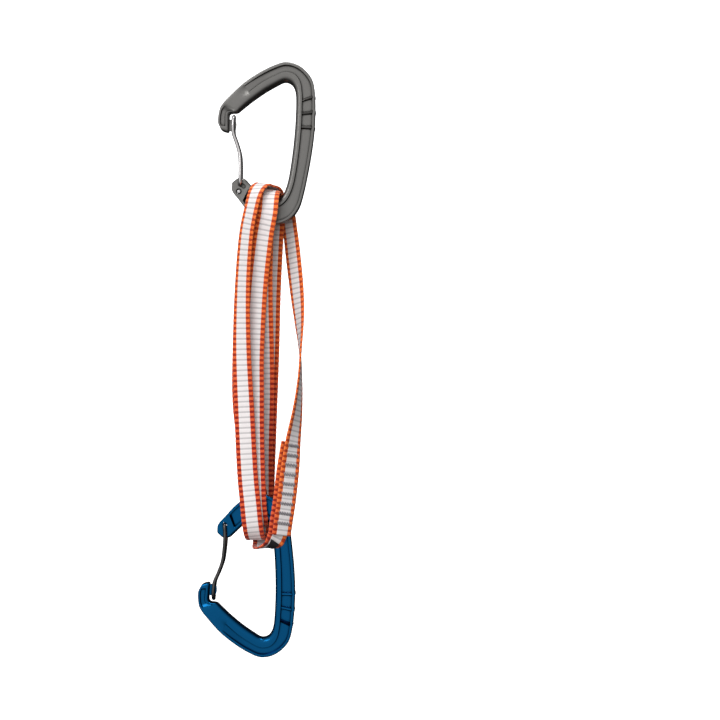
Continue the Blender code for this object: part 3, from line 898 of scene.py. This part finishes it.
def edge_colour(material, side, wave, shade):
    """Orange with dark round beads, both turned darker and redder by painted shade on the lower left
    strands.
    """
    offset = math_node(material, "SUBTRACT", side, BEAD_PLACE)
    from_bead = math_node(material, "POWER", math_node(material, "DIVIDE", offset, BEAD_HALF), 2.0)
    bead = smooth_step(material, math_node(material, "SUBTRACT", wave, from_bead), BEAD_FADE)
    x, _, z = place_in_mm(material)
    low, left = smooth_step(material, z, PAINTED_SHADE_BELOW), smooth_step(material, x, PAINTED_SHADE_LEFT_OF)
    # Painted shade: the lower left strands turn darker and redder.
    painted_shade = math_node(material, "MULTIPLY", low, left)
    orange = mix_colour(material, shade, ORANGE, ORANGE_LIGHT)
    orange_in_shade = mix_colour(material, shade, SHADED_ORANGE, SHADED_ORANGE_LIGHT)
    dark = mix_colour(material, painted_shade, DARK_BEAD, SHADED_BEAD)
    return mix_colour(material, bead, mix_colour(material, painted_shade, orange, orange_in_shade), dark)


def webbing_material():
    """Woven webbing with a white middle and beaded orange edges."""
    material, shader = new_material("webbing", WHITE, 0.0, 0.85)
    shader.inputs["Sheen Weight"].default_value = 0.25
    shader.inputs["Sheen Roughness"].default_value = 0.4
    side, wave, threads = weave_waves(material)
    shade = smooth_step(material, threads, (-1.0, 1.0))
    edge = math_node(material, "GREATER_THAN", side, EDGE_START)
    middle = middle_colour(material, wave, shade)
    colour = mix_colour(material, edge, middle, edge_colour(material, side, wave, shade))
    material.node_tree.links.new(colour, shader.inputs["Base Color"])
    height = math_node(material, "ADD", threads, math_node(material, "MULTIPLY", wave, -LINE_DEPTH))
    add_bump(material, shader, height, 0.35, 0.00012)
    return material


def thread_material():
    material, shader = new_material("thread", THREAD, 0.0, 0.7)
    shader.inputs["Sheen Weight"].default_value = 0.3
    return material


def shadow_patch_material():
    # Painted shadow: a near-black fabric for the dark patch under the front layer's end.
    material, shader = new_material("label", SHADOW_PATCH_COLOUR, 0.0, 0.8)
    add_bump(material, shader, grain(material, 3000.0), 0.3, 0.0001)
    return material


def finish_shadow_patch():
    """Gives the CAD node sling_label, whose shape stays, its material: a black patch of painted
    shadow under the front layer's end.
    """
    slots = bpy.data.objects["sling_label"].data.materials
    slots.clear()
    slots.append(shadow_patch_material())


# --- stage ---------------------------------------------------------------------------------


def make_camera():
    data = bpy.data.cameras.new("camera")
    data.sensor_width = 36.0
    data.lens = CAMERA_LENS
    camera = bpy.data.objects.new("camera", data)
    camera.location = CAMERA_PLACE
    camera.rotation_euler = (math.pi / 2, 0.0, 0.0)
    bpy.context.scene.collection.objects.link(camera)
    bpy.context.scene.camera = camera


def make_backdrop():
    """A pale floor that curves up behind the object."""
    angles = np.radians(range(6, 91, 6))
    profile = [(FLOOR_FRONT, 0.0), (FLOOR_BEND, 0.0)]
    profile += [(FLOOR_BEND * (1 + math.sin(a)), FLOOR_BEND * (1 - math.cos(a))) for a in angles]
    profile.append((2 * FLOOR_BEND, BACKDROP_TOP))
    sides = (-BACKDROP_HALF_WIDTH, BACKDROP_HALF_WIDTH)
    points = np.array([(x, y, z + FLOOR_Z) for y, z in profile for x in sides]) / MM
    faces = [(2 * k, 2 * k + 1, 2 * k + 3, 2 * k + 2) for k in range(len(profile) - 1)]
    material, shader = new_material("backdrop", BACKDROP, 0.0, 1.0)
    shader.inputs["Specular IOR Level"].default_value = 0.0
    shader.inputs["Emission Color"].default_value = (1.0, 1.0, 1.0, 1.0)
    shader.inputs["Emission Strength"].default_value = BACKDROP_GLOW
    backdrop = mesh_object("backdrop", points, faces, material)
    backdrop.visible_glossy = False
    backdrop.visible_diffuse = False


def area_light(name, place, size, power, reflected):
    """A rectangular light aimed at the middle of the object."""
    data = bpy.data.lights.new(name, "AREA")
    data.shape = "RECTANGLE"
    data.size, data.size_y = size
    data.energy = power
    light = bpy.data.objects.new(name, data)
    light.location = place
    light.visible_glossy = reflected
    aim = Vector(LIT_CENTRE) - Vector(place)
    light.rotation_euler = aim.to_track_quat("-Z", "Y").to_euler()
    bpy.context.scene.collection.objects.link(light)


def make_world():
    """White behind the object, and a bright wall to its upper front left that fades to dark sides."""
    world = bpy.data.worlds.new("world")
    world.use_nodes = True
    nodes, links = world.node_tree.nodes, world.node_tree.links
    place = nodes.new("ShaderNodeTexCoord")
    towards = nodes.new("ShaderNodeVectorMath")
    towards.operation = "DOT_PRODUCT"
    towards.inputs[1].default_value = Vector(WALL_DIRECTION).normalized()
    links.new(place.outputs["Generated"], towards.inputs[0])
    glow = nodes.new("ShaderNodeMapRange")
    glow.interpolation_type = "SMOOTHSTEP"
    limits = {"From Min": 0.0, "From Max": WALL_MIDDLE, "To Min": SIDE_GLOW, "To Max": FRONT_GLOW}
    for name, value in limits.items():
        glow.inputs[name].default_value = value
    links.new(towards.outputs["Value"], glow.inputs["Value"])
    seen = nodes.new("ShaderNodeLightPath")
    strength = nodes.new("ShaderNodeMix")
    links.new(seen.outputs["Is Camera Ray"], strength.inputs[0])
    links.new(glow.outputs[0], strength.inputs[2])
    strength.inputs[3].default_value = 1.0
    background = nodes["Background"]
    background.inputs["Color"].default_value = (1.0, 1.0, 1.0, 1.0)
    links.new(strength.outputs[0], background.inputs["Strength"])
    bpy.context.scene.world = world


def make_lights():
    for light in LIGHTS:
        area_light(*light)
    make_world()
    bpy.context.scene.view_settings.view_transform = "Standard"


def build():
    """Builds everything."""
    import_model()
    make_camera()
    make_backdrop()
    make_lights()
    grey = anodised("anodised_grey", GREY, 0.34, 0.08)
    blue = anodised("anodised_blue", BLUE, 0.22, 0.06)
    steel = steel_wire()
    make_body("top_forging", "top_carabiner_body", "top_carabiner", place_top, grey)
    make_body(
        "bottom_forging", "bottom_carabiner_body", "bottom_carabiner", place_bottom, blue
    )
    make_gate("top_wire", "top_gate_wire", "top_gate", place_top, steel)
    make_gate("bottom_wire", "bottom_gate_wire", "bottom_gate", place_bottom, steel)
    make_webbing(webbing_material())
    make_tacks(thread_material())
    finish_shadow_patch()


build()
